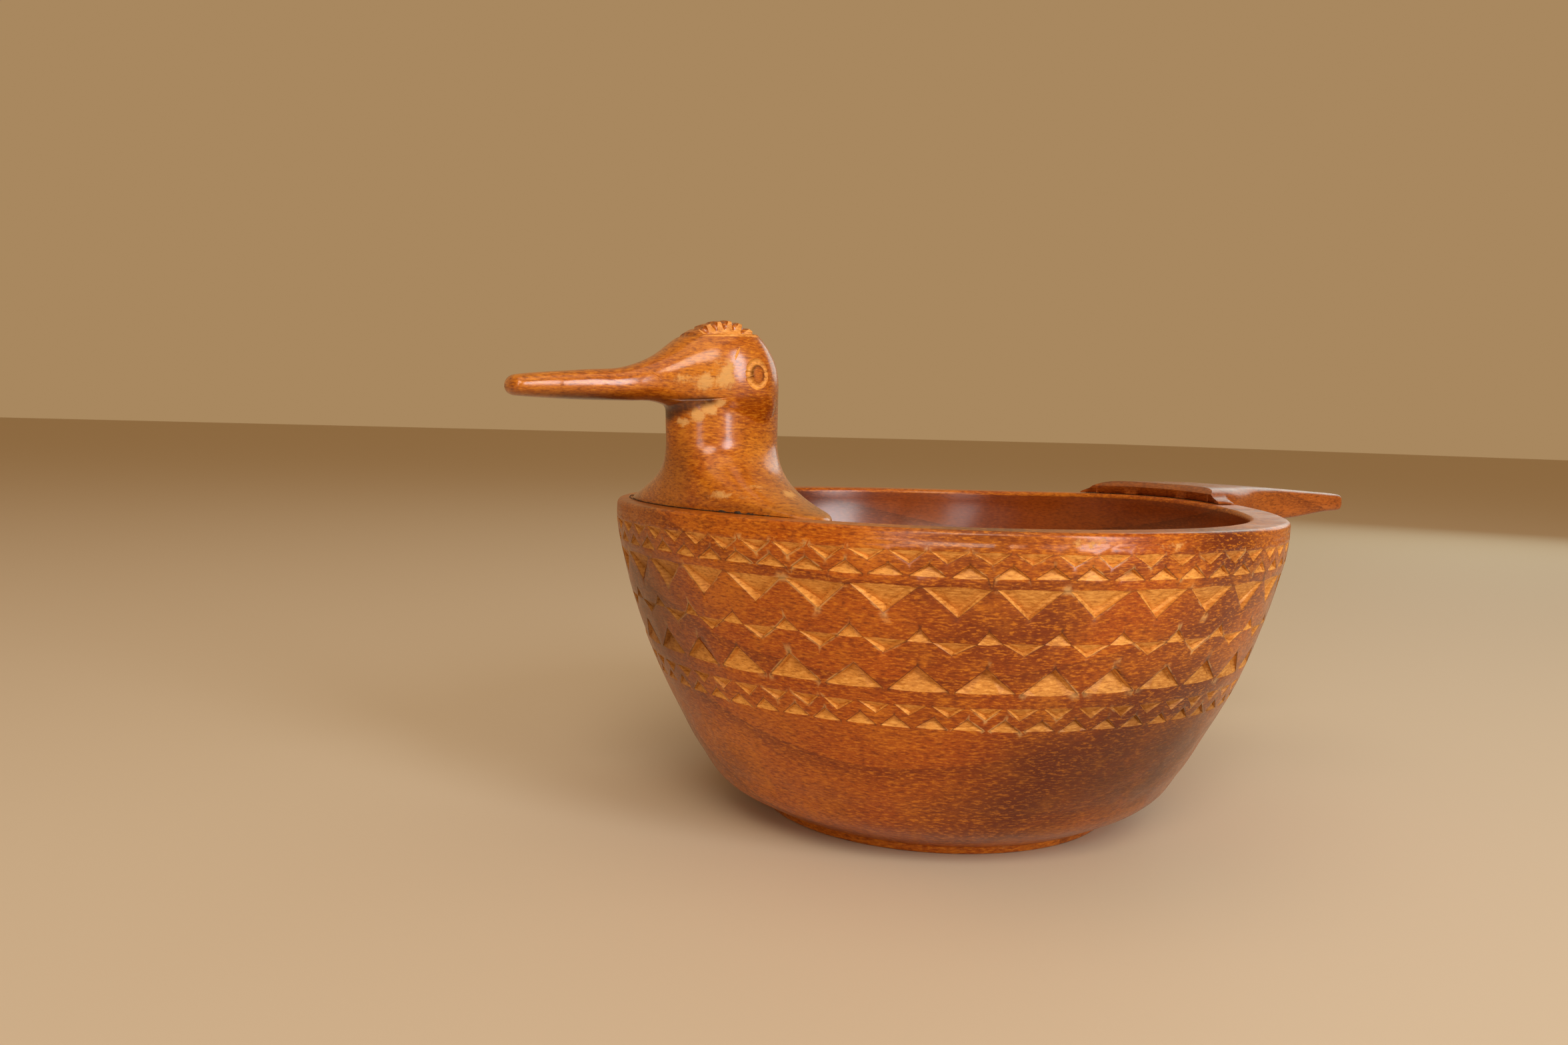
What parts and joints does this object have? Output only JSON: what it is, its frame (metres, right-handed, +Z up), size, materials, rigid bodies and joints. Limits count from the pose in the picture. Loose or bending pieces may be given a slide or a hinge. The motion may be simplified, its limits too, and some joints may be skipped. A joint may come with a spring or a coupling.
{
  "type": "wooden drinking bowl",
  "caption": "Round carved wooden drinking bowl on a low foot, with a long-beaked bird's head and a flat tail glued over its rim.",
  "frame": {"origin": "centre of the bowl's flat foot, where it stands", "axes": "+Z up, +X from the bowl's centre along the beak, -X along the tail"},
  "size_m": [0.1814, 0.12, 0.0862],
  "materials": {
    "bowl_wood": "stained and varnished, gloss",
    "head_wood": "stained and varnished, gloss",
    "tail_wood": "stained and varnished, gloss",
    "dowel_wood": "bare, turned"
  },
  "bodies": {
    "root": {"bowl": "bowl_wood", "head_and_neck": "head_wood", "tail": "tail_wood", "head_dowel_left": "dowel_wood", "head_dowel_right": "dowel_wood", "tail_dowel_left": "dowel_wood", "tail_dowel_right": "dowel_wood"}
  },
  "joints": []
}
